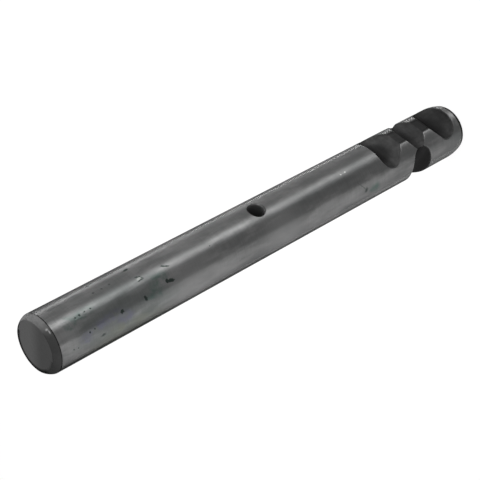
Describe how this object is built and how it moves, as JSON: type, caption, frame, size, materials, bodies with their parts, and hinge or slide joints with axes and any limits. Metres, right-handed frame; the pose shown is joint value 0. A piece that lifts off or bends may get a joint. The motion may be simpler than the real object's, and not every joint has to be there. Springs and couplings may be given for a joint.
{
  "type": "hitch rod",
  "caption": "Round steel rod with a chamfered plain end, a pin hole through the middle, and a notched end with detent seats and side notches.",
  "frame": {"origin": "centre of the notched end face, on which the rod stands", "axes": "+Z along the rod towards the plain end; -Y is the side with the three detent seats and a mouth of the pin hole; +X and -X are the sides with the two notches"},
  "size_m": [0.02, 0.02, 0.194],
  "materials": {
    "ground_steel": "ground side, dark oxide left in the seats, the pin hole, the chamfers and on the end faces"
  },
  "bodies": {
    "root": {"rod": "ground_steel"}
  },
  "joints": []
}
